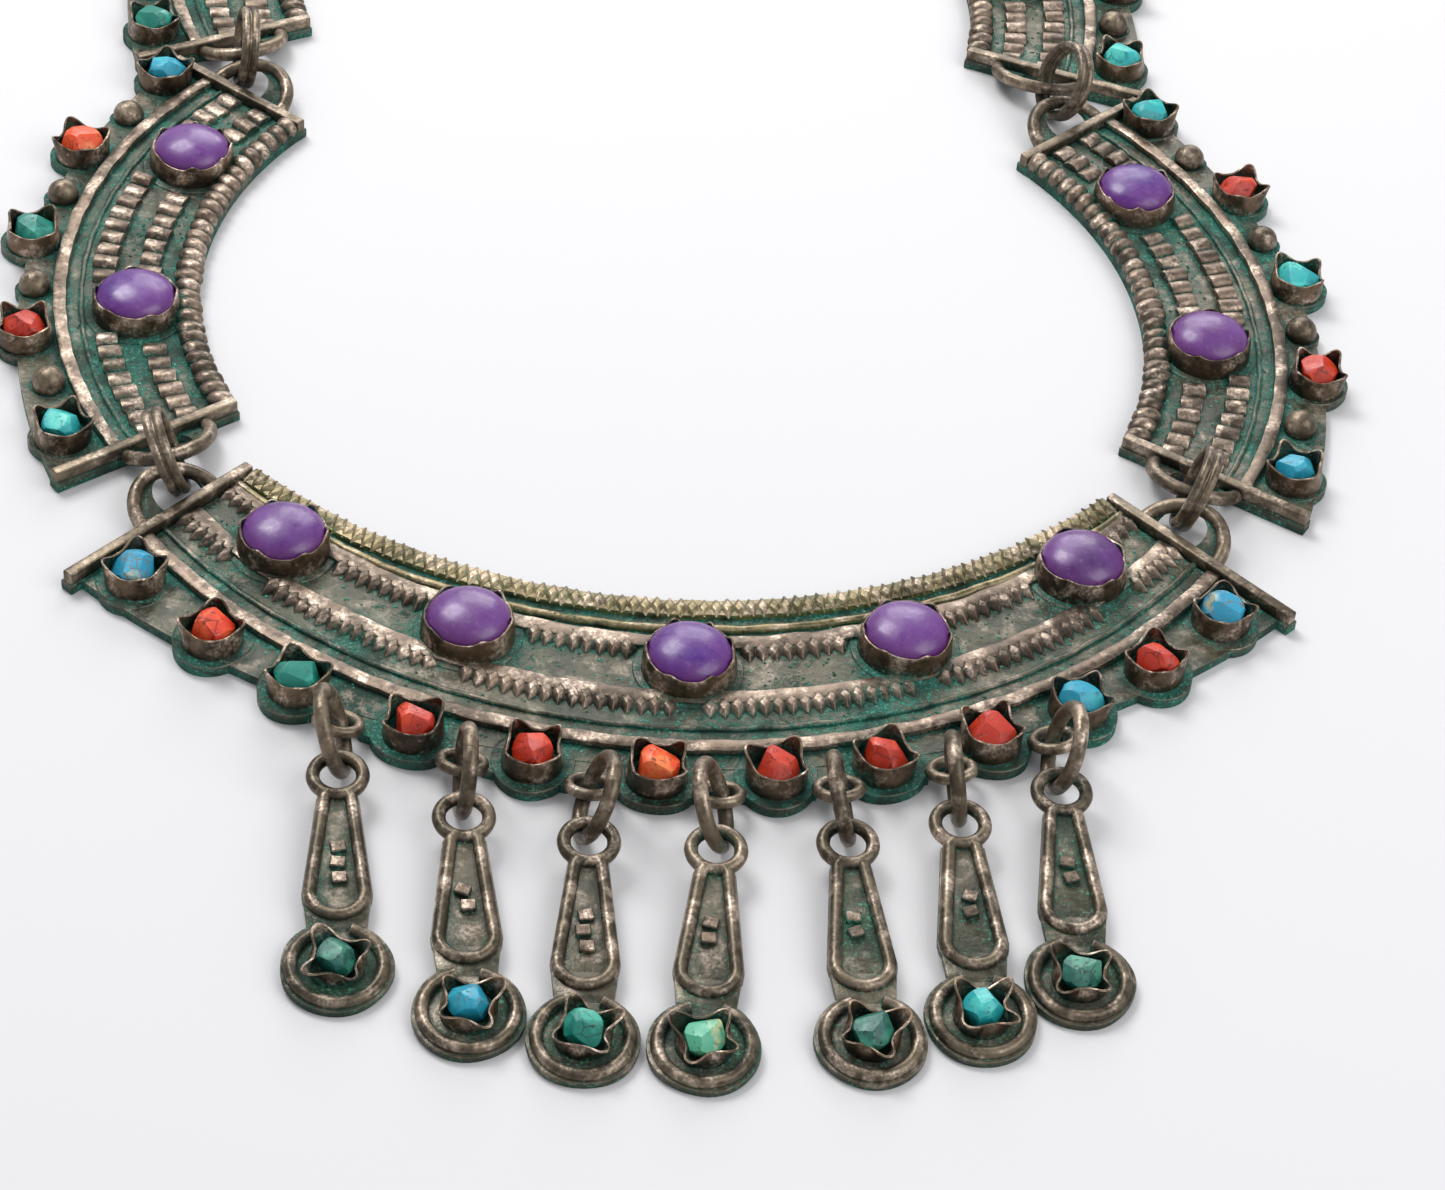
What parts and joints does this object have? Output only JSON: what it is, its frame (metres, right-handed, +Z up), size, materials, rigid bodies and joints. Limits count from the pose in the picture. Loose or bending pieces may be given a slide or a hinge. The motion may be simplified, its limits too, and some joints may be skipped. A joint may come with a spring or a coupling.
{
  "type": "gemstone necklace",
  "caption": "Gemstone necklace of a crescent plate with drops, curved plate links on wire rings and a hook clasp, lying flat.",
  "frame": {"origin": "at the back of the centre plate, under the middle stone, on the surface that the necklace lies on", "axes": "+X to the viewer's right, +Y away from the viewer towards the clasp, +Z up from the surface"},
  "size_m": [0.1156, 0.2326, 0.0075],
  "materials": {
    "silver": "oxidised silver alloy, worn bright on raised edges",
    "amethyst": "milky polished stone",
    "turquoise": "rough polished opaque stone",
    "coral": "rough polished opaque stone"
  },
  "bodies": {
    "root": {"centre_plate": "silver", "drop_1": "silver", "drop_2": "silver", "drop_3": "silver", "drop_4": "silver", "drop_5": "silver", "drop_6": "silver", "drop_7": "silver", "drop_ring_1": "silver", "drop_ring_2": "silver", "drop_ring_3": "silver", "drop_ring_4": "silver", "drop_ring_5": "silver", "drop_ring_6": "silver", "drop_ring_7": "silver", "right_link_1": "silver", "right_link_2": "silver", "right_link_3": "silver", "left_link_1": "silver", "left_link_2": "silver", "left_link_3": "silver", "right_join_ring_1": "silver", "right_join_ring_2": "silver", "right_join_ring_3": "silver", "left_join_ring_1": "silver", "left_join_ring_2": "silver", "left_join_ring_3": "silver", "clasp_hook": "silver", "centre_amethyst_1": "amethyst", "centre_amethyst_2": "amethyst", "centre_amethyst_3": "amethyst", "centre_amethyst_4": "amethyst", "centre_amethyst_5": "amethyst", "right_amethyst_1": "amethyst", "right_amethyst_2": "amethyst", "right_amethyst_3": "amethyst", "right_amethyst_4": "amethyst", "right_amethyst_5": "amethyst", "right_amethyst_6": "amethyst", "left_amethyst_1": "amethyst", "left_amethyst_2": "amethyst", "left_amethyst_3": "amethyst", "left_amethyst_4": "amethyst", "left_amethyst_5": "amethyst", "left_amethyst_6": "amethyst", "centre_turquoises": "turquoise", "right_turquoises": "turquoise", "left_turquoises": "turquoise", "drop_turquoise_1": "turquoise", "drop_turquoise_2": "turquoise", "drop_turquoise_3": "turquoise", "drop_turquoise_4": "turquoise", "drop_turquoise_5": "turquoise", "drop_turquoise_6": "turquoise", "drop_turquoise_7": "turquoise", "centre_corals": "coral", "right_corals": "coral", "left_corals": "coral"}
  },
  "joints": []
}
